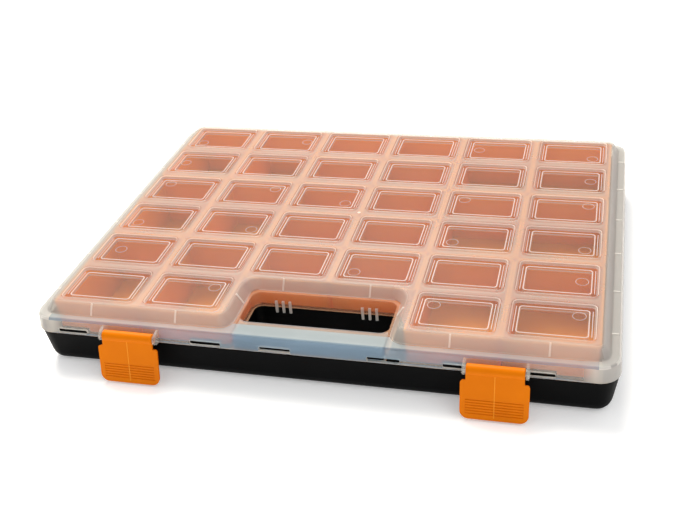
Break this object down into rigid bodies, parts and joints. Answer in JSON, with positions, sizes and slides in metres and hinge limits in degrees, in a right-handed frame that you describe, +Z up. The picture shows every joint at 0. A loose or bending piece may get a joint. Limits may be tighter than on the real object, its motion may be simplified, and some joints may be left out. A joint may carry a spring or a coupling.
{
  "type": "parts sorting tray",
  "caption": "Flat organiser case: clear hinged lid with pockets, snap latches at the front, a built-in carrying handle and lift-out bins in a black tray.",
  "frame": {"origin": "middle of the underside, on the surface that the case lies on", "axes": "+X along the case to the right, +Y towards the hinge, +Z up"},
  "size_m": [0.4, 0.3377, 0.048],
  "materials": {
    "base": "black polypropylene, fine satin moulding",
    "lid": "frosted clear polypropylene",
    "latch": "orange polypropylene, semi-gloss",
    "bin": "orange polypropylene, satin"
  },
  "bodies": {
    "base": {"base_tray": "base", "bin_c1_r12": "bin", "bin_c1_r34": "bin", "bin_c1_r56": "bin", "bin_c2_r12": "bin", "bin_c2_r34": "bin", "bin_c2_r56": "bin", "bin_c3_r1": "bin", "bin_c3_r2": "bin", "bin_c3_r3": "bin", "bin_c3_r4": "bin", "bin_c3_r5": "bin", "bin_c4_r1": "bin", "bin_c4_r2": "bin", "bin_c4_r3": "bin", "bin_c4_r4": "bin", "bin_c4_r5": "bin", "bin_c5_r12": "bin", "bin_c5_r34": "bin", "bin_c5_r56": "bin", "bin_c6_r12": "bin", "bin_c6_r34": "bin", "bin_c6_r56": "bin"},
    "lid": {"lid": "lid"},
    "latch_left": {"latch_left": "latch"},
    "latch_right": {"latch_right": "latch"}
  },
  "joints": [
    {"name": "lid_hinge", "type": "hinge", "parent": "base", "child": "lid", "pos_m": [0, 0.1625, 0.0285], "axis": [-1, 0, 0], "range_deg": [0, 180]},
    {"name": "latch_left_pivot", "type": "hinge", "parent": "lid", "child": "latch_left", "pos_m": [-0.1242, -0.1618, 0.0337], "axis": [-1, 0, 0], "range_deg": [0, 135]},
    {"name": "latch_right_pivot", "type": "hinge", "parent": "lid", "child": "latch_right", "pos_m": [0.1242, -0.1618, 0.0337], "axis": [-1, 0, 0], "range_deg": [0, 135]}
  ]
}
